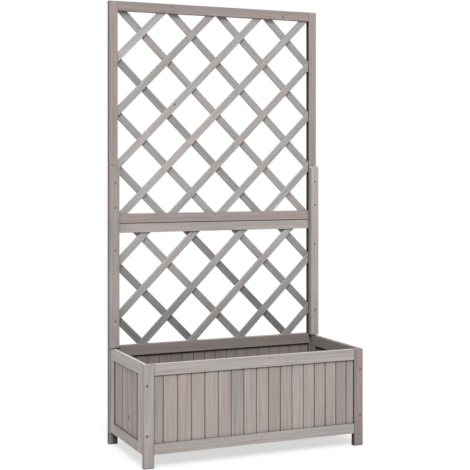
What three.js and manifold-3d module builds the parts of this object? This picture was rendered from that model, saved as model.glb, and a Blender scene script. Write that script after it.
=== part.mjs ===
// Planter with trellis: a softwood box on four legs. Its rear frame runs up as the lower half of a
// trellis, and two battens splice the upper half on top of it.
// Millimetres. +X right, +Y to the rear, +Z up. The origin is on the floor under the middle.
import * as THREE from 'three';
import { mergeVertices } from 'three/addons/utils/BufferGeometryUtils.js';
import Module from 'manifold-3d';

// Overall sizes; the trellis stands a little proud of the planter on each side
const overallHeight = 1350;
const overallDepth = 330;
const planterWidth = 700;
const trellisOverhang = 4;
const groundClearance = 38;

// Front and side panels of the planter
const planterHeight = 292;
const panelThickness = 16;
const frontLegWidth = 30;
const sideFrontStileWidth = 38;
const sideRearStileWidth = 34;
const planterTopRailHeight = 32;
const planterBottomRailHeight = 30;

// Rear frame and upper trellis frame
const trellisThickness = 18;
const trellisStileWidth = 27;
const trellisRailHeight = 29;
const rearRailRise = 6;
const upperFrameExtraHeight = 7.5;

// Grooves in the frames, and the stub tenons that fill them at the corners
const grooveDepth = 8;
const tenonShoulder = 6;
const jointClearance = 0.3;

// Vertical boards: the face of each board, and the cut-down one at the start of each panel
const boardThickness = 8;
const veeWidth = 4;
const veeDepth = 2.4;
const frontBoardFace = 39.1;
const frontFirstBoardFace = 28.4;
const frontBoardNarrowing = 0.52;
const sideBoardFace = 44;
const sideFirstBoardFace = 21;
const rearBoardFace = 37.5;
const rearFirstBoardFace = 25;

// Lattice: two layers of slats, one leaning each way. The spacing of the slats is a share of their
// window's width and another of its height, which make the slats lean at 45 degrees.
const slatWidth = 22;
const slatThickness = 6;
const latticeRecess = 4;
const acrossSpacingShare = 0.2514;
const lowerUpSpacingShare = 0.4786;
const upperUpSpacingShare = 0.2652;
const lowerSlatCount = 6;
const upperSlatCount = 7;
const lowerLatticeSink = 5;

// Battens that splice the upper frame to the rear frame
const battenWidth = 27;
const battenThickness = 18;
const battenFootClearance = 2.5;
const battenAboveRearFrame = 174.5;
const battenCornerCut = 5;

// Floor of the planter
const cleatSize = 20;
const cleatAboveRailFoot = 8;
const floorThickness = 12;
const floorEdgeClearance = 2;
const drainRadius = 6;
const drainColumns = 4;
const drainRows = 2;
const drainSides = 12;

// Screws that join the front legs to the side panels
const screwHeadRadius = 4;
const screwHeadDepth = 3;
const screwShankRadius = 2;
const screwLength = 40;
const screwTipLength = 5;
const screwInset = 9;
const lowerScrewAboveRailFoot = 53;
const upperScrewBelowTop = 60;
const roundSides = 12;

// Weathered grey wood, and the zinc of the screws
const woodRoughness = 0.86;
const legColour = 0xa69e99;
const railColour = 0xa8a39e;
const boardColour = 0xa39a96;
const stileColour = 0xa69a93;
const battenColour = 0xa7a29d;
const frontSlatColour = 0xa6a19d;
const backSlatColour = 0x8f8884;
const innerColour = 0x97908b;
const screwColour = 0x8b8785;
const screwMetalness = 0.8;
const screwRoughness = 0.5;

const wasm = await Module();
wasm.setup();

const planter = new THREE.Group();

// Named planes that several pieces share
const frontFace = -overallDepth / 2;
const rearFace = overallDepth / 2;
const frontPanel = [frontFace, frontFace + panelThickness];
const rearFrame = [rearFace - trellisThickness, rearFace];
const planterSide = planterWidth / 2;
const trellisSide = planterSide + trellisOverhang;
const sideRun = [frontPanel[1], rearFrame[0]];
const rearRailTop = planterHeight + rearRailRise;
const rearFrameTop = (overallHeight - upperFrameExtraHeight) / 2;
const topRailUp = [planterHeight - planterTopRailHeight, planterHeight];
const bottomRailUp = [groundClearance, groundClearance + planterBottomRailHeight];
const rearRailUp = [rearRailTop - planterTopRailHeight, rearRailTop];
const lowerTopRailUp = [rearFrameTop - trellisRailHeight, rearFrameTop];
const upperFrameUp = [rearFrameTop, overallHeight];
const upperBottomRailUp = [upperFrameUp[0], upperFrameUp[0] + trellisRailHeight];
const upperTopRailUp = [upperFrameUp[1] - trellisRailHeight, upperFrameUp[1]];
const tenonLength = grooveDepth - jointClearance;
const trellisWindow = grow([0, 0], trellisSide - trellisStileWidth);
const screwHeights = {
  lower: groundClearance + lowerScrewAboveRailFoot,
  upper: planterHeight - upperScrewBelowTop,
};

// Layers of the lattice through the thickness of the rear frames
const frontLayer = [rearFrame[0] + latticeRecess, rearFrame[0] + latticeRecess + slatThickness];
const backLayer = [frontLayer[1], frontLayer[1] + slatThickness];
const latticeLayers = [frontLayer[0], backLayer[1]];

function middle(span) {
  return (span[0] + span[1]) / 2;
}

function grow(span, amount) {
  return [span[0] - amount, span[1] + amount];
}

// the mirror image of a span about zero
function mirror(span) {
  return [-span[1], -span[0]];
}

// the layer that boards and their tenons take in the middle of a frame's thickness
function boardLayer(through) {
  return grow([middle(through), middle(through)], boardThickness / 2);
}

// a rectangular block between two limits on each axis
function block(x, y, z) {
  const geometry = new THREE.BoxGeometry(x[1] - x[0], y[1] - y[0], z[1] - z[0]);
  geometry.translate(middle(x), middle(y), middle(z));
  return geometry;
}

// a block in a panel that runs along X, or along Y when the panel is turned
function panelBlock(turned, along, through, up) {
  return turned ? block(through, along, up) : block(along, through, up);
}

function toSolid(geometry) {
  const bare = geometry.clone();
  bare.deleteAttribute('normal');
  bare.deleteAttribute('uv');
  const merged = mergeVertices(bare, 1e-4);
  return new wasm.Manifold(new wasm.Mesh({
    numProp: 3,
    vertProperties: new Float32Array(merged.attributes.position.array),
    triVerts: new Uint32Array(merged.index.array),
  }));
}

function toGeometry(solid) {
  const mesh = solid.getMesh();
  const geometry = new THREE.BufferGeometry();
  geometry.setAttribute('position', new THREE.BufferAttribute(mesh.vertProperties, mesh.numProp));
  geometry.setIndex(new THREE.BufferAttribute(mesh.triVerts, 1));
  const faceted = geometry.toNonIndexed();
  faceted.computeVertexNormals();
  return faceted;
}

// the first geometry with others joined to it and then others cut from it
function carve(base, joined, cuts) {
  let solid = toSolid(base);
  for (const geometry of joined) {
    solid = solid.add(toSolid(geometry));
  }
  for (const geometry of cuts) {
    solid = solid.subtract(toSolid(geometry));
  }
  return toGeometry(solid);
}

function addPiece(name, geometry, colour, roughness = woodRoughness, metalness = 0) {
  const material = new THREE.MeshStandardMaterial({ color: colour, roughness, metalness });
  const mesh = new THREE.Mesh(geometry, material);
  mesh.name = name;
  planter.add(mesh);
}

// A rail between two uprights. `layer` is what its grooves and tenons line up with; a groove runs
// along each edge that faces a window, and the tenons stop at a shoulder at the other edge.
function railGeometry({ turned = false, along, through, up, layer, windowBelow, windowAbove }) {
  const tenonUp = [
    up[0] + (windowBelow ? grooveDepth : tenonShoulder),
    up[1] - (windowAbove ? grooveDepth : tenonShoulder),
  ];
  const tenonAlong = grow(along, tenonLength);
  const tenon = panelBlock(turned, tenonAlong, layer, tenonUp);
  const cuts = [];
  if (windowBelow) {
    const groove = grow(windowBelow, jointClearance);
    cuts.push(panelBlock(turned, tenonAlong, groove, [up[0] - grooveDepth, up[0] + grooveDepth]));
  }
  if (windowAbove) {
    const groove = grow(windowAbove, jointClearance);
    cuts.push(panelBlock(turned, tenonAlong, groove, [up[1] - grooveDepth, up[1] + grooveDepth]));
  }
  return carve(panelBlock(turned, along, through, up), [tenon], cuts);
}

// the groove along an upright's edge at `edge`, `inward` being the side its wood lies on
function uprightGroove(turned, edge, inward, layer, up) {
  const along = [edge, edge + inward * grooveDepth].sort((a, b) => a - b);
  return panelBlock(turned, along, grow(layer, jointClearance), up);
}

// the height that a groove needs for tenons which stop at their shoulders
function grooveUp(lowest, highest) {
  return [lowest + tenonShoulder - jointClearance, highest - tenonShoulder + jointClearance];
}

// Joints between boards from one end of a window: a cut-down board, then full ones whose faces
// may get a little narrower one by one.
function boardJoints(window, firstFace, face, narrowing) {
  const count = Math.floor((window[1] - window[0] - firstFace) / face);
  const joints = [window[0] + firstFace];
  for (let index = 0; index < count; index += 1) {
    const offCentre = (count - 1) / 2 - index;
    joints.push(joints[index] + face + narrowing * offCentre);
  }
  return joints;
}

// Tongued boards pressed edge to edge into one sheet, with a vee along each joint on both faces.
function boardingGeometry(turned, window, through, up, joints) {
  const layer = boardLayer(through);
  const ends = grow(window, tenonLength);
  const face = joints.flatMap((joint) => [
    [joint - veeWidth / 2, 0],
    [joint, veeDepth],
    [joint + veeWidth / 2, 0],
  ]);
  const outer = face.map(([along, depth]) => [along, layer[0] + depth]);
  const inner = face.map(([along, depth]) => [along, layer[1] - depth]).reverse();
  const outline = [
    [ends[0], layer[0]], ...outer, [ends[1], layer[0]],
    [ends[1], layer[1]], ...inner, [ends[0], layer[1]],
  ];
  const points = outline.map(([along, deep]) => (
    turned ? new THREE.Vector2(deep, along) : new THREE.Vector2(along, deep)
  ));
  const height = up[1] - up[0] + 2 * tenonLength;
  const geometry = new THREE.ExtrudeGeometry(new THREE.Shape(points), {
    depth: height,
    bevelEnabled: false,
  });
  geometry.translate(0, 0, up[0] - tenonLength);
  return geometry;
}

// the outline of a countersunk screw along +Y from the rim of its head, with a clearance all round
function screwOutline(clearance) {
  return [
    [screwHeadRadius + clearance, clearance],
    [screwShankRadius + clearance, screwHeadDepth + clearance],
    [screwShankRadius + clearance, screwLength - screwTipLength + clearance],
    [0, screwLength + clearance],
  ];
}

// an outline turned about the axis of one of the screws
function turnedAtScrew(outline, side, height) {
  const points = outline.map(([radius, along]) => new THREE.Vector2(radius, along));
  const geometry = new THREE.LatheGeometry(points, roundSides);
  geometry.translate(side * (planterSide - screwInset), frontFace, height);
  return geometry;
}

// The holes for the screws on one side, each of which starts a little in front of the wood.
function screwHoles(side) {
  const outline = [
    [0, -jointClearance],
    [screwHeadRadius + jointClearance, -jointClearance],
    ...screwOutline(jointClearance),
  ];
  return Object.values(screwHeights).map((height) => turnedAtScrew(outline, side, height));
}

const sides = [['left', -1], ['right', 1]];

function addFrontPanel() {
  const window = grow([0, 0], planterSide - frontLegWidth);
  const layer = boardLayer(frontPanel);
  for (const [sideName, side] of sides) {
    const legSpan = [planterSide - frontLegWidth, planterSide];
    const along = side > 0 ? legSpan : mirror(legSpan);
    const groove = uprightGroove(
      false, side * legSpan[0], side, layer, grooveUp(groundClearance, planterHeight),
    );
    const leg = block(along, frontPanel, [0, planterHeight]);
    addPiece(`front_${sideName}_leg`, carve(leg, [], [groove, ...screwHoles(side)]), legColour);
  }
  const rail = { along: window, through: frontPanel, layer };
  const topRail = railGeometry({ ...rail, up: topRailUp, windowBelow: layer });
  const bottomRail = railGeometry({ ...rail, up: bottomRailUp, windowAbove: layer });
  addPiece('front_top_rail', topRail, railColour);
  addPiece('front_bottom_rail', bottomRail, railColour);
  const joints = boardJoints(window, frontFirstBoardFace, frontBoardFace, frontBoardNarrowing);
  const windowUp = [bottomRailUp[1], topRailUp[0]];
  const boarding = boardingGeometry(false, window, frontPanel, windowUp, joints);
  addPiece('front_boarding', boarding, boardColour);
}

// A side panel: its top rail runs over both stiles, which hold it by stub tenons.
function addSidePanel(sideName, side) {
  const outerSpan = [planterSide - panelThickness, planterSide];
  const through = side > 0 ? outerSpan : mirror(outerSpan);
  const layer = boardLayer(through);
  const window = [sideRun[0] + sideFrontStileWidth, sideRun[1] - sideRearStileWidth];
  const groove = grow(layer, jointClearance);
  const stiles = [
    ['front', [sideRun[0], window[0]], window[0], -1],
    ['rear', [window[1], sideRun[1]], window[1], 1],
  ];
  for (const [endName, along, edge, inward] of stiles) {
    const body = panelBlock(true, along, through, [groundClearance, topRailUp[0]]);
    const tenonAlong = inward < 0
      ? [along[0] + tenonShoulder, along[1]]
      : [along[0], along[1] - tenonShoulder];
    const tenonUp = [topRailUp[0] - grooveDepth, topRailUp[0] + tenonLength];
    const tenon = panelBlock(true, tenonAlong, layer, tenonUp);
    const edgeGrooveUp = [groundClearance + tenonShoulder - jointClearance, planterHeight];
    const cuts = [uprightGroove(true, edge, inward, layer, edgeGrooveUp)];
    if (endName === 'front') {
      cuts.push(...screwHoles(side));
    }
    addPiece(`${sideName}_${endName}_stile`, carve(body, [tenon], cuts), stileColour);
  }
  const topBody = panelBlock(true, sideRun, through, topRailUp);
  const topGrooveAlong = grow(sideRun, jointClearance - tenonShoulder);
  const topGrooveUp = [topRailUp[0] - grooveDepth, topRailUp[0] + grooveDepth];
  const topGroove = panelBlock(true, topGrooveAlong, groove, topGrooveUp);
  addPiece(`${sideName}_top_rail`, carve(topBody, [], [topGroove]), railColour);
  const bottomRail = railGeometry({
    turned: true, along: window, through, up: bottomRailUp, layer, windowAbove: layer,
  });
  addPiece(`${sideName}_bottom_rail`, bottomRail, railColour);
  const joints = boardJoints(window, sideFirstBoardFace, sideBoardFace, 0);
  const windowUp = [bottomRailUp[1], topRailUp[0]];
  const boarding = boardingGeometry(true, window, through, windowUp, joints);
  addPiece(`${sideName}_boarding`, boarding, boardColour);
}

// an upright of the rear or the upper frame, with the given grooves along its inner edge
function trellisUpright(side, up, grooves) {
  const span = [trellisSide - trellisStileWidth, trellisSide];
  const along = side > 0 ? span : mirror(span);
  const cuts = grooves.map(([layer, grooveSpan]) => (
    uprightGroove(false, side * span[0], side, layer, grooveSpan)
  ));
  return carve(block(along, rearFrame, up), [], cuts);
}

function addRearFrame() {
  const layer = boardLayer(rearFrame);
  const boardGroove = [bottomRailUp[0] + tenonShoulder - jointClearance, rearRailTop - grooveDepth];
  const latticeGroove = [boardGroove[1], rearFrameTop - tenonShoulder + jointClearance];
  const grooves = [[layer, boardGroove], [latticeLayers, latticeGroove]];
  for (const [sideName, side] of sides) {
    const leg = trellisUpright(side, [0, rearFrameTop], grooves);
    addPiece(`rear_${sideName}_leg`, leg, stileColour);
  }
  const rail = { along: trellisWindow, through: rearFrame };
  const bottomRail = railGeometry({ ...rail, up: bottomRailUp, layer, windowAbove: layer });
  const planterRail = railGeometry({
    ...rail, up: rearRailUp, layer, windowBelow: layer, windowAbove: latticeLayers,
  });
  const topRail = railGeometry({
    ...rail, up: lowerTopRailUp, layer: latticeLayers, windowBelow: latticeLayers,
  });
  addPiece('rear_bottom_rail', bottomRail, innerColour);
  addPiece('rear_planter_rail', planterRail, innerColour);
  addPiece('lower_trellis_top_rail', topRail, railColour);
  const joints = boardJoints(trellisWindow, rearFirstBoardFace, rearBoardFace, 0);
  const windowUp = [bottomRailUp[1], rearRailUp[0]];
  const boarding = boardingGeometry(false, trellisWindow, rearFrame, windowUp, joints);
  addPiece('rear_boarding', boarding, innerColour);
}

function addUpperFrame() {
  const groove = [latticeLayers, grooveUp(upperFrameUp[0], upperFrameUp[1])];
  for (const [sideName, side] of sides) {
    const stile = trellisUpright(side, upperFrameUp, [groove]);
    addPiece(`upper_${sideName}_stile`, stile, stileColour);
  }
  const rail = { along: trellisWindow, through: rearFrame, layer: latticeLayers };
  const bottomRail = railGeometry({ ...rail, up: upperBottomRailUp, windowAbove: latticeLayers });
  const topRail = railGeometry({ ...rail, up: upperTopRailUp, windowBelow: latticeLayers });
  addPiece('upper_bottom_rail', bottomRail, railColour);
  addPiece('upper_top_rail', topRail, railColour);
}

// One layer of lattice in a window: slats leaning by `lean`, evenly spaced about a point on the
// window's centre line and cut square to the frame where they end in its grooves.
function addLatticeLayer(name, lean, layer, { up, upSpacingShare, count, centre }, colour) {
  const across = acrossSpacingShare * (trellisWindow[1] - trellisWindow[0]);
  const slope = Math.atan2(upSpacingShare * (up[1] - up[0]), across);
  const limits = block(
    grow(trellisWindow, tenonLength), grow(layer, slatThickness), grow(up, tenonLength),
  );
  for (let index = 0; index < count; index += 1) {
    const slat = new THREE.BoxGeometry(overallHeight + planterWidth, slatThickness, slatWidth);
    slat.rotateY(-lean * slope);
    slat.translate((index - (count - 1) / 2) * across, middle(layer), centre);
    const piece = toGeometry(toSolid(slat).intersect(toSolid(limits)));
    addPiece(`${name}_${index + 1}`, piece, colour);
  }
}

function addLattices() {
  const lowerUp = [rearRailTop, lowerTopRailUp[0]];
  const upperUp = [upperBottomRailUp[1], upperTopRailUp[0]];
  const lattices = {
    lower: {
      up: lowerUp,
      upSpacingShare: lowerUpSpacingShare,
      count: lowerSlatCount,
      centre: middle(lowerUp) - lowerLatticeSink,
    },
    upper: {
      up: upperUp,
      upSpacingShare: upperUpSpacingShare,
      count: upperSlatCount,
      centre: middle(upperUp),
    },
  };
  for (const [level, lattice] of Object.entries(lattices)) {
    addLatticeLayer(`${level}_front_slat`, 1, frontLayer, lattice, frontSlatColour);
    addLatticeLayer(`${level}_back_slat`, -1, backLayer, lattice, backSlatColour);
  }
}

// The battens lie against the rear frames, flush with their outer edges, and end a little above the
// side panels.
function addBattens() {
  const battenFoot = planterHeight + battenFootClearance;
  const battenTop = rearFrameTop + battenAboveRearFrame;
  for (const [sideName, side] of sides) {
    const outer = side * trellisSide;
    const inner = side * (trellisSide - battenWidth);
    const outline = [
      [outer, battenFoot],
      [outer, battenTop - battenCornerCut],
      [outer - side * battenCornerCut, battenTop],
      [inner + side * battenCornerCut, battenTop],
      [inner, battenTop - battenCornerCut],
      [inner, battenFoot],
    ].map(([x, z]) => new THREE.Vector2(x, z));
    const geometry = new THREE.ExtrudeGeometry(new THREE.Shape(outline), {
      depth: battenThickness,
      bevelEnabled: false,
    });
    geometry.rotateX(Math.PI / 2);
    geometry.translate(0, rearFrame[0], 0);
    addPiece(`${sideName}_splice_batten`, geometry, battenColour);
  }
}

// The floor lies on a cleat along the front panel and another along the rear frame.
function addFloor() {
  const insideX = planterSide - panelThickness - floorEdgeClearance;
  const insideY = grow([frontPanel[1], rearFrame[0]], -floorEdgeClearance);
  const cleatFoot = groundClearance + cleatAboveRailFoot;
  const cleatUp = [cleatFoot, cleatFoot + cleatSize];
  const cleatAlong = [-insideX, insideX];
  const frontCleat = block(cleatAlong, [frontPanel[1], frontPanel[1] + cleatSize], cleatUp);
  const rearCleat = block(cleatAlong, [rearFrame[0] - cleatSize, rearFrame[0]], cleatUp);
  addPiece('front_floor_cleat', frontCleat, innerColour);
  addPiece('rear_floor_cleat', rearCleat, innerColour);
  const floor = new THREE.Shape([
    new THREE.Vector2(-insideX, insideY[0]),
    new THREE.Vector2(insideX, insideY[0]),
    new THREE.Vector2(insideX, insideY[1]),
    new THREE.Vector2(-insideX, insideY[1]),
  ]);
  for (let column = 0; column < drainColumns; column += 1) {
    for (let row = 0; row < drainRows; row += 1) {
      const x = insideX * ((2 * column + 1) / drainColumns - 1);
      const y = middle(insideY) + (insideY[1] - insideY[0]) * ((row + 0.5) / drainRows - 0.5);
      const corners = [];
      for (let corner = 0; corner < drainSides; corner += 1) {
        const angle = (2 * Math.PI * corner) / drainSides;
        const across = drainRadius * Math.cos(angle);
        const along = drainRadius * Math.sin(angle);
        corners.push(new THREE.Vector2(x + across, y + along));
      }
      floor.holes.push(new THREE.Path(corners));
    }
  }
  const geometry = new THREE.ExtrudeGeometry(floor, {
    depth: floorThickness,
    bevelEnabled: false,
  });
  geometry.translate(0, 0, cleatUp[1]);
  addPiece('floor_boarding', geometry, innerColour);
}

function addScrews() {
  for (const [sideName, side] of sides) {
    for (const [levelName, height] of Object.entries(screwHeights)) {
      const name = `front_${sideName}_${levelName}_screw`;
      const screw = turnedAtScrew([[0, 0], ...screwOutline(0)], side, height);
      addPiece(name, screw, screwColour, screwRoughness, screwMetalness);
    }
  }
}

addFrontPanel();
for (const [sideName, side] of sides) {
  addSidePanel(sideName, side);
}
addRearFrame();
addUpperFrame();
addLattices();
addBattens();
addFloor();
addScrews();

export default planter;
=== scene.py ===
import math
import random

import bmesh
import bpy
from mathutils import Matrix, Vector


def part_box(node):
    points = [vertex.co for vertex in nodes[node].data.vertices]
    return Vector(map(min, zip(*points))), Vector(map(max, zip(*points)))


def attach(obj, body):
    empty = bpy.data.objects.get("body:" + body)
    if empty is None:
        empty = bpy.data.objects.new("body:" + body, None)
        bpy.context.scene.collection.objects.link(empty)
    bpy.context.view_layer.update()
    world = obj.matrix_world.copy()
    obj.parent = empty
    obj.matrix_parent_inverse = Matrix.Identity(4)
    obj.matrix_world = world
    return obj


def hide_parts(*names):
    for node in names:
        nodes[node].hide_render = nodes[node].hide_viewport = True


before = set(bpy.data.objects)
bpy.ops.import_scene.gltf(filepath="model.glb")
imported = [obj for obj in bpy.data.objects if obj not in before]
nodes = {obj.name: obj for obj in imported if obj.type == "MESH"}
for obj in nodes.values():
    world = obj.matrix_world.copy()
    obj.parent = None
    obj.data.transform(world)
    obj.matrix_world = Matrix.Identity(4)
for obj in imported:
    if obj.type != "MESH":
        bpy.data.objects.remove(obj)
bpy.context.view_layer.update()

dice = random.Random(11)

# ---------------------------------------------------------------- camera
YAW = 0.4124165
CAMERA_PLACE = (-1.377138, -3.145039, 0.849883)
FOCAL_PIXELS = 1127.49
PICTURE_PIXELS = 470
HORIZON_ROW = 164.88
SENSOR_MM = 36

lens = bpy.data.cameras.new("camera")
lens.sensor_width = SENSOR_MM
lens.lens = FOCAL_PIXELS * SENSOR_MM / PICTURE_PIXELS
lens.shift_y = (HORIZON_ROW - PICTURE_PIXELS / 2) / PICTURE_PIXELS
camera = bpy.data.objects.new("camera", lens)
camera.location = CAMERA_PLACE
camera.rotation_euler = (math.pi / 2, 0, -YAW)
bpy.context.scene.collection.objects.link(camera)
bpy.context.scene.camera = camera


# ---------------------------------------------------------------- node trees
def linear(colour):
    """The linear colour of three 0-255 screen values."""
    def one(value):
        value /= 255
        return value / 12.92 if value <= 0.04045 else ((value + 0.055) / 1.055) ** 2.4
    return (*map(one, colour), 1.0)


class Shade:
    """Short calls that add nodes to the node tree of a material or a world."""

    def __init__(self, owner):
        owner.use_nodes = True
        self.tree = owner.node_tree
        self.tree.nodes.clear()

    def add(self, kind, inputs=None, **settings):
        made = self.tree.nodes.new(kind)
        for name, value in settings.items():
            setattr(made, name, value)
        for key, value in (inputs or {}).items():
            if isinstance(value, bpy.types.NodeSocket):
                self.tree.links.new(value, made.inputs[key])
            else:
                made.inputs[key].default_value = value
        return made

    def calc(self, operation, a, b=0.0):
        return self.add("ShaderNodeMath", {0: a, 1: b}, operation=operation).outputs[0]

    def product(self, first, *others):
        for other in others:
            first = self.calc("MULTIPLY", first, other)
        return first

    def total(self, first, *others):
        for other in others:
            first = self.calc("ADD", first, other)
        return first

    def fit(self, value, low, high, to_low=0.0, to_high=1.0):
        """A smooth step between two values as the input goes from low to high."""
        inputs = {0: value, 1: low, 2: high, 3: to_low, 4: to_high}
        made = self.add("ShaderNodeMapRange", inputs, interpolation_type="SMOOTHSTEP")
        return made.outputs[0]

    def vector(self, operation, a, b=(0, 0, 0)):
        return self.add("ShaderNodeVectorMath", {0: a, 1: b}, operation=operation).outputs[0]

    def number(self, operation, a, b=(0, 0, 0)):
        made = self.add("ShaderNodeVectorMath", {0: a, 1: b}, operation=operation)
        return made.outputs["Value"]

    def scale(self, colour, amount):
        made = self.add("ShaderNodeVectorMath", {0: colour, "Scale": amount}, operation="SCALE")
        return made.outputs[0]

    def join(self, x, y, z):
        return self.add("ShaderNodeCombineXYZ", {0: x, 1: y, 2: z}).outputs[0]

    def split(self, value):
        return self.add("ShaderNodeSeparateXYZ", {0: value}).outputs

    def mix(self, share, a, b):
        made = self.add("ShaderNodeMix", {0: share, 6: a, 7: b}, data_type="RGBA")
        return made.outputs[2]

    def noise(self, coords, along, across, detail=2.0, output=0):
        """Noise with so many changes a metre along the grain and across it."""
        stretched = self.vector("MULTIPLY", coords, (along, across, across))
        inputs = {"Vector": stretched, "Scale": 1.0, "Detail": detail}
        return self.add("ShaderNodeTexNoise", inputs).outputs[output]


# ---------------------------------------------------------------- weathered wood
# For each run of the grain: along it, across the wider face, and through the thickness
HALF = math.sqrt(0.5)
AXES = {
    "x": ((1, 0, 0), (0, 0, 1), (0, 1, 0)),
    "y": ((0, 1, 0), (0, 0, 1), (1, 0, 0)),
    "z": ((0, 0, 1), (1, 0, 0), (0, 1, 0)),
    "z side": ((0, 0, 1), (0, 1, 0), (1, 0, 0)),
    "rise": ((HALF, 0, HALF), (-HALF, 0, HALF), (0, 1, 0)),
    "fall": ((HALF, 0, -HALF), (HALF, 0, HALF), (0, 1, 0)),
}

COOL_WASH = linear((170, 165, 162))
WARM_WASH = linear((182, 166, 161))
PALE_WASH = linear((196, 192, 189))
BARE_WOOD = linear((135, 121, 114))
KNOT_WOOD = linear((92, 76, 69))
INSIDE_WOOD = linear((127, 119, 114))
INSIDE_GREY = linear((122, 117, 114))
FRAME_COLOURS = (COOL_WASH, WARM_WASH, BARE_WOOD)
SLAT_COLOURS = (linear((170, 168, 166)), linear((178, 169, 165)), linear((130, 123, 119)))

# The growth rings, how far they bend round a knot, and where the pith lies beside a piece
RING_SPACING = 0.0027
RING_DRIFT = 0.014
KNOT_PUSH = 0.006
PITH_ASIDE = (0.010, 0.030)
PITH_DEPTH = (0.030, 0.060)
PITH_START = 5
BOARD_SCATTER = (8.0, 0.06, 0.03)

# How far each effect reaches from an edge, a joint or a plane
# the reach of the ambient occlusion that paints shade into crevices
OCCLUSION_REACH = 0.010
EDGE_REACH = 0.002
SEAM_REACH = 0.0012
SPLICE_REACH = 0.0018
BATTEN_GAP_REACH = 0.006
GROOVE_REACH = 0.009
WINDOW_EDGE = (0.0008, 0.0032)
SLACK = 0.0004
TENON = 0.0077

# The modifiers on the CAD nodes, and the angle from which an edge is sharp
WELD_REACH = 0.00001
ROUNDING = 0.0008
SHARP_ANGLE = math.radians(35)

# The heights between which dirt fades out
LEG_STAIN_TOP = 0.12
BATTEN_STAIN_TOP = 0.50
LATTICE_STAIN = (0.28, 0.62)

# The inner faces of the planter and the arrises above them, which are given a darker, duller
# colour
INSIDE_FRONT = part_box("front_top_rail")[1][1]
INSIDE_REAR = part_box("rear_boarding")[0][1] + SLACK
INSIDE_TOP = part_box("rear_planter_rail")[1][2] - SLACK
INSIDE_FADE = (0.0042, 0.0065)

# Planes where the pieces of a frame meet, and the faces of the frames and their boards
FRONT_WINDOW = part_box("front_right_leg")[0][0]
FRONT_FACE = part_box("front_right_leg")[0][1]
FRONT_BOARD_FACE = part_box("front_boarding")[0][1]
SIDE_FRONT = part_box("right_top_rail")[0][1]
SIDE_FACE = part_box("right_top_rail")[1][0]
SIDE_BOARD_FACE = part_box("right_boarding")[1][0]
SIDE_RAIL_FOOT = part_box("right_top_rail")[0][2]
BOTTOM_RAIL_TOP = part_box("front_bottom_rail")[1][2]
SIDE_INNER_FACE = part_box("right_top_rail")[0][0]
SIDE_INNER_BOARD_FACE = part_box("right_boarding")[0][0]
TRELLIS_WINDOW, TRELLIS_SIDE = (corner[0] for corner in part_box("upper_right_stile"))
TRELLIS_FACE, TRELLIS_BACK = (corner[1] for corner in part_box("upper_right_stile"))
SPLICE_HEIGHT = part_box("upper_right_stile")[0][2]
BATTEN_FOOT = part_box("right_splice_batten")[0][2]
REAR_RAIL_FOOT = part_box("rear_planter_rail")[0][2]
PLANTER_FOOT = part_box("front_bottom_rail")[0][2]


def in_grain(axis, place):
    """A place measured along the grain, across it and through it."""
    return tuple(sum(a * b for a, b in zip(direction, place)) for direction in AXES[axis])


def middle_of(name):
    """The middle of a CAD node's box."""
    low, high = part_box(name)
    return tuple((a + b) / 2 for a, b in zip(low, high))


def board_steps(s, across, joints, tones):
    """A ramp that steps at the joints: red is a board's warmth and green its tone. The second
    result is the middle of the board, measured across the boards, from the ramp's alpha."""
    low = joints[0]
    span = joints[-1] - low
    share = s.calc("DIVIDE", s.calc("SUBTRACT", across, low), span)
    ramp = s.add("ShaderNodeValToRGB", {0: share})
    steps = ramp.color_ramp
    steps.interpolation = "CONSTANT"
    while len(steps.elements) > 1:
        steps.elements.remove(steps.elements[-1])
    for index, (start, end, tone) in enumerate(zip(joints, joints[1:], tones)):
        where = (start - low) / span
        step = steps.elements[0] if index == 0 else steps.elements.new(where)
        step.position = where
        step.color = (tone[0], tone[1], 0, ((start + end) / 2 - low) / span)
    middle = s.total(s.product(ramp.outputs["Alpha"], span), low)
    return ramp.outputs["Color"], middle


def knot_distances(s, axis, turned, knots):
    """How far a point is from each knot, which is drawn out along the grain."""
    far = []
    for spot, size in knots:
        away = s.vector("SUBTRACT", turned, in_grain(axis, spot))
        away = s.vector("MULTIPLY", away, (0.65, 1, 0))
        uneven = s.product(s.calc("SUBTRACT", s.noise(turned, 180, 300), 0.5), size * 0.9)
        far.append((s.total(s.number("LENGTH", away), uneven), size))
    return far


def late_wood(s, grain, knots):
    """Lines of late wood, 0 to 1, in uneven rings about a pith line beside the piece."""
    radius = s.number("LENGTH", s.vector("MULTIPLY", grain, (0, 1, 1)))
    for far, size in knots:
        radius = s.total(radius, s.fit(far, 0, size * 5, KNOT_PUSH, 0))
    inputs = {"W": radius, "Scale": 110.0, "Detail": 1.0}
    uneven = s.add("ShaderNodeTexNoise", inputs, noise_dimensions="1D").outputs[0]
    ring = s.calc("FRACT", s.total(s.product(radius, 1 / RING_SPACING), s.product(uneven, 3)))
    return s.product(s.fit(ring, 0.25, 0.86), s.fit(ring, 0.90, 1.0, 1, 0))


def inner_faces(s, place):
    """1 on the planter's inner faces and 0 elsewhere."""
    x, y, z = s.split(place)
    near, far = INSIDE_FADE
    return s.product(
        s.fit(s.calc("ABSOLUTE", x), SIDE_INNER_FACE + near, SIDE_INNER_FACE + far, 1, 0),
        s.fit(y, INSIDE_FRONT - far, INSIDE_FRONT - near),
        s.calc("LESS_THAN", y, INSIDE_REAR),
        s.calc("LESS_THAN", z, INSIDE_TOP),
    )


def between(s, value, low, high):
    """1 between two values and 0 elsewhere."""
    return s.product(s.calc("GREATER_THAN", value, low), s.calc("LESS_THAN", value, high))


def darker(s, share, where):
    """The factor that takes a share of the light from a place."""
    return s.calc("SUBTRACT", 1, s.product(where, share))


def seam(s, value, plane, left=0.4, reach=SEAM_REACH):
    """The dark line along a joint, which leaves a share of the colour."""
    away = s.calc("ABSOLUTE", s.calc("SUBTRACT", value, plane))
    return s.fit(away, reach * 0.4, reach, left, 1)


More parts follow.
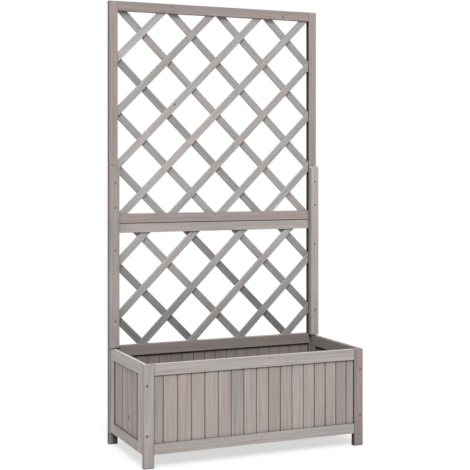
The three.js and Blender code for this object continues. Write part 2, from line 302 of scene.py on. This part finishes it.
def stains_joints_and_shade(s, name, place):
    """Factors for one piece: its dark joints and stains, and painted shade in its grooves and
    recesses and on its shaded faces.
    """
    x, y, z = s.split(place)
    x = s.calc("ABSOLUTE", x)
    if name.startswith("front_") and name != "front_boarding":
        # painted shade on the walls of the recess round the boards
        recess = between(s, y, FRONT_FACE + 2 * SLACK, FRONT_BOARD_FACE)
        found = [seam(s, x, FRONT_WINDOW), darker(s, 0.5, recess)]
        if name.endswith("leg"):
            found.append(s.fit(z, 0.0, LEG_STAIN_TOP, 0.80, 1))
        return found
    if name.startswith(("left_", "right_")) and name.endswith(("stile", "rail")):
        # painted shade on the walls of the recesses round the boards, outside and inside
        recess = between(s, x, SIDE_BOARD_FACE, SIDE_FACE - 2 * SLACK)
        inner = between(s, x, SIDE_INNER_FACE + 2 * SLACK, SIDE_INNER_BOARD_FACE)
        found = [seam(s, y, SIDE_FRONT, 0.45), darker(s, 0.78, recess), darker(s, 0.8, inner)]
        if name.endswith("stile"):
            found.append(seam(s, z, SIDE_RAIL_FOOT))
        return found
    if name.endswith("batten"):
        # painted shade on the batten's inner side face
        inner = s.calc("LESS_THAN", x, TRELLIS_WINDOW + SLACK)
        return [darker(s, 0.28, inner), s.fit(z, BATTEN_FOOT, BATTEN_STAIN_TOP, 0.84, 1)]
    if name.startswith(("rear_", "upper_", "lower_")) and name.endswith(("stile", "leg", "rail")):
        # painted shade in the lattice groove and on the outer side faces
        groove = s.product(
            between(s, x, TRELLIS_WINDOW - SLACK, TRELLIS_WINDOW + GROOVE_REACH),
            between(s, y, TRELLIS_FACE + SLACK, TRELLIS_BACK - SLACK),
        )
        outer = s.calc("GREATER_THAN", x, TRELLIS_SIDE - SLACK)
        found = [
            seam(s, z, SPLICE_HEIGHT, 0.06, SPLICE_REACH), seam(s, x, TRELLIS_WINDOW, 0.65),
            darker(s, 0.75, groove), darker(s, 0.45, outer),
        ]
        if name.endswith("leg"):
            # painted shadow of the planter box on the rear feet
            found.append(s.fit(z, PLANTER_FOOT - 0.006, PLANTER_FOOT + 0.002, 0.62, 1))
        if name == "rear_right_leg":
            # painted shade in the gap under the batten's foot
            found.append(seam(s, z, BATTEN_FOOT, 0.08, BATTEN_GAP_REACH))
        return found
    if name.startswith("lower_") and "slat" in name:
        left = 0.68 if "front" in name else 0.62
        return [s.fit(z, *LATTICE_STAIN, left, 1)]
    if name in SIDE_BOARDS:
        # painted shade on the boards' inner faces, and a painted shadow under the top rail
        inner = s.calc("LESS_THAN", x, SIDE_INNER_BOARD_FACE + SLACK)
        under_rail = s.fit(z, SIDE_RAIL_FOOT - 0.012, SIDE_RAIL_FOOT - 0.006)
        return [darker(s, 0.25, inner), darker(s, 0.85, s.product(inner, under_rail))]
    if name == "rear_boarding":
        # painted shadow of the rear rail on the boards
        return [s.fit(z, REAR_RAIL_FOOT - 0.008, REAR_RAIL_FOOT - 0.003, 1, 0.2)]
    return []


def between_boards(s, name, turned, depth_middle, joints):
    """Factors for the dirt in the vees between boards, and painted shade under the top rail, over
    the bottom rail and round the edge of their window.
    """
    along, across, through = s.split(turned)
    low, high = (in_grain(BOARDINGS[name][0], corner)[2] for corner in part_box(name))
    half = abs(high - low) / 2
    from_middle = s.calc("ABSOLUTE", s.calc("SUBTRACT", through, depth_middle))
    left, reach = (0.12, 0.0010) if name in SIDE_BOARDS else (0.24, 0.0022)
    vees = s.fit(from_middle, half - reach, half - 0.0001, left, 1)
    # painted shadow under the top rail and painted shade over the bottom rail
    top = s.fit(along, SIDE_RAIL_FOOT - 0.007, SIDE_RAIL_FOOT, 1, 0.7)
    foot = s.fit(along, BOTTOM_RAIL_TOP - 0.008, BOTTOM_RAIL_TOP + 0.014, 0.72, 1)
    # painted shade, and the painted shadow of the stiles, round the edge of the window
    near, far = WINDOW_EDGE
    ends = [s.fit(across, joints[-1] - far, joints[-1] - near, 1, 0.45)]
    if name in SIDE_BOARDS:
        ends.append(s.fit(across, joints[0] + 0.012, joints[0] + 0.026, 0.45, 1))
        ends.append(seam(s, across, joints[-3], 0.55, 0.004))
    else:
        ends.append(s.fit(across, joints[0] + near, joints[0] + far, 0.45, 1))
    return [vees, top, foot] + ends


def worn_and_lit_edges(s, grain):
    """Patches along the edges, 0 to 1, where the wash is rubbed thin and a painted highlight lies
    on the arrises.
    """
    rounded = s.add("ShaderNodeBevel", {"Radius": EDGE_REACH}, samples=6).outputs[0]
    facing = s.add("ShaderNodeNewGeometry").outputs["Normal"]
    turn = s.calc("SUBTRACT", 1, s.number("DOT_PRODUCT", rounded, facing))
    return s.product(s.fit(turn, 0.015, 0.16), s.fit(s.noise(grain, 22, 60), 0.38, 0.62, 0.25, 1))


def top_faces(s):
    """1 on the faces that look up and 0 elsewhere."""
    facing = s.add("ShaderNodeNewGeometry").outputs["Normal"]
    return s.fit(s.split(facing)[2], 0.5, 0.9)


def grain_marks(s, grain, knots):
    """The patterns that the grain makes, from the finest to the broadest."""
    return {
        "flecks": s.fit(s.noise(grain, 50, 2400), 0.62, 0.72),
        "fine": s.noise(grain, 14, 900, 3.0),
        "streak": s.noise(grain, 4.5, 190),
        "late": late_wood(s, grain, knots),
        "broad": s.noise(grain, 2.2, 42),
        "cloud": s.noise(grain, 3.0, 11),
    }


def washed(s, name, grain, marks, warmth, tone):
    """The colour of the wash, which is thin over the late wood and in some streaks."""
    cool, warm, bare = SLAT_COLOURS if "slat" in name else FRAME_COLOURS
    warmth = s.total(warmth, s.product(s.calc("SUBTRACT", marks["cloud"], 0.5), 0.9))
    thin = s.total(
        s.product(marks["late"], 0.20), s.fit(marks["streak"], 0.50, 0.72, 0, 0.30),
        s.fit(marks["broad"], 0.52, 0.75, 0, 0.16), s.product(marks["flecks"], 0.3),
    )
    colour = s.mix(thin, s.mix(warmth, cool, warm), bare)
    # worn wash along the edges, with a painted highlight on the arrises
    paler = [(s.fit(marks["streak"], 0.28, 0.44, 1, 0), 0.22), (worn_and_lit_edges(s, grain), 0.38)]
    # painted highlight: a paler wash on the top faces of these rails
    if name in LIT_TOP_RAILS:
        paler.append((top_faces(s), 0.6))
    for where, share in paler:
        colour = s.mix(s.product(where, share), colour, PALE_WASH)
    return s.scale(colour, s.product(
        s.fit(marks["cloud"], 0.3, 0.7, 0.95, 1.05), s.fit(marks["fine"], 0.3, 0.7, 0.92, 1.07),
        tone,
    ))


def inside_colour(s, name, marks):
    """The duller colour of the wood inside the planter."""
    colour = INSIDE_WOOD if name == "rear_planter_rail" else INSIDE_GREY
    colour = s.mix(s.product(marks["fine"], 0.6), colour, BARE_WOOD)
    return s.scale(colour, s.fit(marks["broad"], 0.3, 0.7, 1.1, 0.85))


def shade_and_dirt_factor(s, name, place, turned, depth_middle, boards):
    """The factor that painted shade, dark joints and stains leave of the colour, where pieces meet
    and between boards.
    """
    # painted shade: ambient occlusion darkens crevices and recesses
    air = s.add("ShaderNodeAmbientOcclusion", {"Distance": OCCLUSION_REACH}, samples=8).outputs["AO"]
    least = 0.6 if name.endswith("rear_stile") or "slat" in name else 0.25
    factors = stains_joints_and_shade(s, name, place)
    if boards:
        factors += between_boards(s, name, turned, depth_middle, boards[0])
    return s.product(s.fit(air, 0.25, 0.85, least, 1.0), *factors)


def wood(name, axis, tone, warmth, boards=None, knots=()):
    """Grey-washed softwood with its grain along an axis. Boards are the joints between them and
    a warmth and tone for each; knots are places and sizes."""
    material = bpy.data.materials.new("wood_" + name)
    s = Shade(material)
    place = s.add("ShaderNodeTexCoord").outputs["Object"]
    turned = s.join(*[s.number("DOT_PRODUCT", place, direction) for direction in AXES[axis]])
    middle = in_grain(axis, middle_of(name))
    aside = dice.choice((-1, 1)) * dice.uniform(*PITH_ASIDE)
    depth = dice.choice((-1, 1)) * dice.uniform(*PITH_DEPTH)
    start = dice.uniform(-PITH_START, PITH_START)
    if boards:
        own_tone, board_middle = board_steps(s, s.split(turned)[1], *boards)
        warmth, level, _ = s.split(own_tone)
        tone = s.product(level, tone)
        seed = s.add("ShaderNodeTexWhiteNoise", {"W": board_middle}, noise_dimensions="1D")
        own = s.vector("SUBTRACT", seed.outputs["Color"], (0.5, 0.5, 0.5))
        own = s.vector("MULTIPLY", own, BOARD_SCATTER)
        pith = s.vector("ADD", own, s.join(start, board_middle, middle[2] + depth))
    else:
        pith = (start, middle[1] + aside, middle[2] + depth)
    grain = s.vector("SUBTRACT", turned, pith)
    drift = s.vector("SUBTRACT", s.noise(grain, 1.8, 7, output=1), (0.5, 0.5, 0.5))
    grain = s.vector("ADD", grain, s.vector("MULTIPLY", drift, (0, RING_DRIFT, RING_DRIFT)))

    far = knot_distances(s, axis, turned, knots)
    marks = grain_marks(s, grain, far)
    colour = washed(s, name, grain, marks, warmth, tone)
    inside = s.product(inner_faces(s, place), 0.80)
    colour = s.mix(inside, colour, inside_colour(s, name, marks))
    for distance, size in far:
        core = s.fit(distance, size * 0.55, size * 1.1, 0.72, 0)
        colour = s.mix(core, colour, KNOT_WOOD)
    colour = s.scale(colour, shade_and_dirt_factor(s, name, place, turned, middle[2], boards))

    height = s.total(
        s.product(marks["fine"], 0.5), s.product(marks["late"], 0.35),
        s.product(marks["flecks"], -0.4),
    )
    bump = s.add("ShaderNodeBump", {"Strength": 0.45, "Distance": 0.0006, "Height": height})
    shader = s.add("ShaderNodeBsdfPrincipled", {
        "Base Color": colour,
        "Roughness": s.fit(marks["fine"], 0.25, 0.75, 0.92, 0.76),
        "Specular IOR Level": 0.25,
        "Normal": bump.outputs[0],
    })
    s.add("ShaderNodeOutputMaterial", {0: shader.outputs[0]})
    return material


def dress(name, material):
    """Put a material on a CAD node and round its edges."""
    piece = nodes[name]
    for slot in piece.material_slots:
        slot.material = material
    weld = piece.modifiers.new("weld", "WELD")
    weld.merge_threshold = WELD_REACH
    soften = piece.modifiers.new("soften", "BEVEL")
    soften.width = ROUNDING
    soften.segments = 2
    soften.limit_method = "ANGLE"
    soften.angle_limit = SHARP_ANGLE
    normals = piece.modifiers.new("normals", "WEIGHTED_NORMAL")
    normals.keep_sharp = False


# ---------------------------------------------------------------- what each piece is made of
def board_joints(name, axis, first, face, narrowing=0.0):
    """The ends of a panel's window and the joints between its boards."""
    low, high = (in_grain(axis, corner)[1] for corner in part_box(name))
    low += TENON
    high -= TENON
    count = int((high - low - first) // face)
    joints = [low, low + first]
    for index in range(count):
        joints.append(joints[-1] + face + narrowing * ((count - 1) / 2 - index))
    return joints + [high]


SIDE_BOARDS = ("left_boarding", "right_boarding")
# the rails round the planter whose top faces get a painted highlight, a paler wash where they look
# up
LIT_TOP_RAILS = ("front_top_rail", "left_top_rail")
# warmth and tone of a board that is cool, warm, middling, light, pale or dark
BOARD_TONES = {
    "c": (0.20, 0.92), "w": (0.75, 1.03), "m": (0.45, 0.98),
    "l": (0.35, 1.06), "p": (0.30, 1.14), "d": (0.55, 0.88),
}
# the grain, the first board's face, the other faces, how much they narrow, and each board's tone
BOARDINGS = {
    "front_boarding": ("z", 0.0284, 0.0391, 0.00052, "cwwmlmcwmdmplmmdc"),
    "rear_boarding": ("z", 0.025, 0.0375, 0, "mcwmlcmdwmclmwmcmd"),
    "left_boarding": ("z side", 0.021, 0.044, 0, "mcmlcm"),
    "right_boarding": ("z side", 0.021, 0.044, 0, "cmwmlc"),
}
# the place and size of each knot
KNOTS = {
    "left_boarding": [((-0.346, -0.015, 0.115), 0.0055)],
    "right_splice_batten": [((0.330, 0.129, 0.3545), 0.0026)],
    "upper_bottom_rail": [((-0.0086, 0.147, 0.692), 0.0026)],
    "upper_front_slat_3": [((-0.141, 0.151, 1.0375), 0.0035)],
    "upper_top_rail": [((0.2333, 0.147, 1.3292), 0.0035), ((-0.1518, 0.147, 1.3426), 0.003)],
}
# tone and warmth, for all but the slats
PLAIN_TONE = (1.0, 0.2)
FRAME_TONES = {
    "front_left_leg": (1.13, 0.1),
    "front_right_leg": (0.77, 0.8),
    "front_top_rail": (1.12, 0.0),
    "front_bottom_rail": (1.03, 0.0),
    "left_top_rail": (1.26, 0.1),
    "left_bottom_rail": (1.04, 0.0),
    "left_front_stile": (1.11, 0.1),
    "left_rear_stile": (1.10, 0.1),
    "left_boarding": (0.96, 0.2),
    "right_top_rail": (0.82, 0.0),
    "rear_left_leg": (1.05, 0.2),
    "upper_left_stile": (0.88, 1.0),
    "upper_right_stile": (0.92, 0.3),
    "upper_top_rail": (0.88, 0.7),
    "upper_bottom_rail": (0.89, 0.9),
    "lower_trellis_top_rail": (1.12, 0.3),
    "right_splice_batten": (1.14, 0.1),
}
# pale, light, middling, dark and darkest slats, from left to right
SLAT_TONES = {"p": 1.34, "l": 1.15, "m": 1.03, "d": 0.86, "k": 0.70}
SLAT_WARMTH = (0.0, 0.4)
SLATS = {
    "upper_front": "pmllmml",
    "upper_back": "mmdmmmm",
    "lower_front": "llmlmm",
    "lower_back": "ddmkmd",
}


def grain_axis(name):
    """The key in AXES of the way that a piece's grain runs."""
    if name in BOARDINGS:
        return BOARDINGS[name][0]
    if "front_slat" in name:
        return "rise"
    if "back_slat" in name:
        return "fall"
    if name in ("left_top_rail", "right_top_rail", "left_bottom_rail", "right_bottom_rail"):
        return "y"
    if "rail" in name or "floor" in name:
        return "x"
    return "z"


for name in sorted(nodes):
    if "screw" in name:
        continue
    axis = grain_axis(name)
    boards = None
    if name in BOARDINGS:
        _, first, face, narrowing, letters = BOARDINGS[name]
        tones = [BOARD_TONES[letter] for letter in letters]
        boards = (board_joints(name, axis, first, face, narrowing), tones)
    tone, warmth = FRAME_TONES.get(name, PLAIN_TONE)
    if "slat" in name:
        layer, number = name.split("_slat_")
        tone = SLAT_TONES[SLATS[layer][int(number) - 1]]
        warmth = dice.uniform(*SLAT_WARMTH)
    dress(name, wood(name, axis, tone, warmth, boards, KNOTS.get(name, ())))


# ---------------------------------------------------------------- screws
BATTEN_SCREW_HEIGHTS = (0.376, 0.591, 0.720, 0.795)
# the head's radius, how far its middle stands up, and the length below the wood's face
BATTEN_SCREW = (0.0034, 0.0009, 0.032)
# how far the leg screws are sunk, how far their heads rise, and how much shorter they are than
# the CAD screws that they replace
LEG_SCREW_SINK = 0.0003
LEG_SCREW_RISE = 0.0002
LEG_SCREW_SHORTER = 0.001
# half the length and half the width of the cross, for a head of radius 1
RECESS_ARM = 0.60
RECESS_WIDTH = 0.17
RECESS_DEPTH = 0.0012
THREAD_PITCH = 0.0018
THREAD_HEIGHT = 0.14
THREAD_START = 0.003
UNTHREADED = 0.008
RINGS_PER_TURN = 3


def recess_radius(angle):
    """The cross recess's outline about its middle, for a head of radius 1."""
    angle = abs((angle + math.pi / 4) % (math.pi / 2) - math.pi / 4)
    if angle <= math.atan2(RECESS_WIDTH, RECESS_ARM):
        return RECESS_ARM / math.cos(angle)
    return RECESS_WIDTH / math.sin(angle)


def recess_angles():
    """The angles at which the rings of a screw have points, with all the recess's corners."""
    corner = math.atan2(RECESS_WIDTH, RECESS_ARM)
    halfway = (corner + math.pi / 4) / 2
    quarter = (-corner, 0, corner, halfway, math.pi / 4, math.pi / 2 - halfway)
    return [turn * math.pi / 2 + angle for turn in range(4) for angle in quarter]


def screw_rings(radius, rise, length):
    """Rings from the bottom of the recess to the tip: a height and a radius for each angle."""
    shank = radius / 2
    cross = lambda share: lambda angle: share * radius * recess_radius(angle)
    circle = lambda size: lambda angle: size
    rings = [
        (rise - RECESS_DEPTH, cross(0.55)),
        (rise - 0.0002, cross(0.95)),
        (rise, cross(1.04)),
        (rise * 0.95, circle(radius * 0.78)),
        (rise * 0.35, circle(radius * 0.95)),
        (-0.0003, circle(radius)),
        (-0.0028, circle(shank * 1.05)),
    ]
    turns = int((length - UNTHREADED) / THREAD_PITCH)
    for index in range(turns * RINGS_PER_TURN):
        depth = THREAD_START + index * THREAD_PITCH / RINGS_PER_TURN
        thread = lambda angle, depth=depth: shank * (
            1 - THREAD_HEIGHT
            + THREAD_HEIGHT * math.cos(angle - 2 * math.pi * depth / THREAD_PITCH))
        rings.append((-depth, thread))
    rings.append((-length, circle(shank * 0.12)))
    return rings


def add_screw(name, x, face, z, radius, rise, length):
    """A cross-head screw that points to the rear with its head at a face."""
    turn = dice.uniform(0, math.pi / 2)
    build = bmesh.new()
    loops = []
    for height, size in screw_rings(radius, rise, length):
        loop = []
        for angle in recess_angles():
            across = size(angle) * math.cos(angle + turn)
            up = size(angle) * math.sin(angle + turn)
            loop.append(build.verts.new((x + across, face - height, z + up)))
        loops.append(loop)
    for upper, lower in zip(loops, loops[1:]):
        for index, vertex in enumerate(upper):
            after = (index + 1) % len(upper)
            build.faces.new((vertex, upper[after], lower[after], lower[index]))
    build.faces.new(loops[0])
    build.faces.new(loops[-1])
    bmesh.ops.recalc_face_normals(build, faces=build.faces)
    mesh = bpy.data.meshes.new(name)
    build.to_mesh(mesh)
    build.free()
    mesh.shade_smooth()
    mesh.set_sharp_from_angle(angle=SHARP_ANGLE)
    piece = bpy.data.objects.new(name, mesh)
    bpy.context.scene.collection.objects.link(piece)
    mesh.materials.append(zinc)
    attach(piece, "root")
    return piece


def dull_zinc():
    """Zinc that has gone dull, with browner patches, and dirt and painted shade in the recess."""
    material = bpy.data.materials.new("dull_zinc")
    s = Shade(material)
    place = s.add("ShaderNodeTexCoord").outputs["Object"]
    patch = s.noise(place, 700, 700, 3.0)
    air = s.add("ShaderNodeAmbientOcclusion", {"Distance": 0.001}, samples=8).outputs["AO"]
    colour = s.mix(s.fit(patch, 0.4, 0.65), linear((150, 145, 141)), linear((118, 101, 91)))
    # dirt and painted shade: ambient occlusion darkens the recess
    colour = s.scale(colour, s.fit(air, 0.3, 0.9, 0.3, 1))
    bump = s.add("ShaderNodeBump", {"Strength": 0.3, "Distance": 0.0002, "Height": patch})
    shader = s.add("ShaderNodeBsdfPrincipled", {
        "Base Color": colour,
        "Metallic": 0.8,
        "Roughness": s.fit(patch, 0.3, 0.7, 0.42, 0.62),
        "Normal": bump.outputs[0],
    })
    s.add("ShaderNodeOutputMaterial", {0: shader.outputs[0]})
    return material


zinc = dull_zinc()
for name in sorted(nodes):
    if "screw" in name:
        middle = middle_of(name)
        low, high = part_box(name)
        radius = (high[0] - low[0]) / 2
        screw = add_screw("detailed_" + name, middle[0], low[1] + LEG_SCREW_SINK, middle[2],
                          radius, LEG_SCREW_RISE, high[1] - low[1] - LEG_SCREW_SHORTER)
        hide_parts(name)

for side in ("left", "right"):
    batten = side + "_splice_batten"
    for index, height in enumerate(BATTEN_SCREW_HEIGHTS):
        add_screw(f"{side}_batten_screw_{index + 1}", middle_of(batten)[0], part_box(batten)[0][1],
                  height, *BATTEN_SCREW)


# ---------------------------------------------------------------- floor and light
FLOOR_SIDE = 8
FLOOR_FADE = (0.6, 1.4)
WORLD_LIGHT = 0.27
# where each lamp shines from, its strength, and how wide it looks in degrees
LAMPS = {
    "key": ((-0.17, -0.65, 0.73), 2.25, 25),
    "top": ((0.05, -0.1, 1.0), 1.25, 50),
    "left": ((-1.0, -0.15, 0.35), 1.0, 60),
    "rear": ((0.8, 0.9, 0.5), 0.45, 60),
}


def floor_material():
    """Pale paint that the camera sees fade to white away from the object."""
    material = bpy.data.materials.new("floor_pale")
    s = Shade(material)
    ground = s.add("ShaderNodeTexCoord").outputs["Object"]
    fade = s.fit(s.number("LENGTH", ground), *FLOOR_FADE, 0.65, 1)
    seen = s.add("ShaderNodeLightPath").outputs["Is Camera Ray"]
    matt = s.add("ShaderNodeBsdfDiffuse", {"Color": (0.40, 0.40, 0.40, 1)}).outputs[0]
    bright = s.add("ShaderNodeBsdfDiffuse", {"Color": (0.9, 0.9, 0.9, 1)}).outputs[0]
    white = s.add("ShaderNodeEmission", {"Color": (1, 1, 1, 1), "Strength": 1.0}).outputs[0]
    shown = s.add("ShaderNodeMixShader", {0: fade, 1: bright, 2: white}).outputs[0]
    both = s.add("ShaderNodeMixShader", {0: seen, 1: matt, 2: shown}).outputs[0]
    s.add("ShaderNodeOutputMaterial", {0: both})
    return material


floor_mesh = bpy.data.meshes.new("floor")
corners = [(x * FLOOR_SIDE, y * FLOOR_SIDE, 0) for x, y in ((-1, -1), (1, -1), (1, 1), (-1, 1))]
floor_mesh.from_pydata(corners, [], [(0, 1, 2, 3)])
floor_mesh.materials.append(floor_material())
floor = bpy.data.objects.new("floor", floor_mesh)
bpy.context.scene.collection.objects.link(floor)

world = bpy.data.worlds.new("studio")
bpy.context.scene.world = world
s = Shade(world)
path = s.add("ShaderNodeLightPath").outputs
looked_at = s.calc("MAXIMUM", path["Is Glossy Ray"], path["Is Transmission Ray"])
looked_at = s.calc("MAXIMUM", path["Is Camera Ray"], looked_at)
brightness = s.fit(looked_at, 0, 1, WORLD_LIGHT, 1.0)
sky = s.add("ShaderNodeBackground", {0: (1, 1, 1, 1), 1: brightness})
s.add("ShaderNodeOutputWorld", {0: sky.outputs[0]})


def sun(name, source, strength, angle):
    """A soft distant lamp that shines from a direction."""
    data = bpy.data.lights.new(name, "SUN")
    data.energy = strength
    data.angle = math.radians(angle)
    lamp = bpy.data.objects.new(name, data)
    lamp.rotation_euler = Vector(source).to_track_quat("Z", "Y").to_euler()
    bpy.context.scene.collection.objects.link(lamp)


for name, settings in LAMPS.items():
    sun(name, *settings)

bpy.context.scene.view_settings.view_transform = "Standard"
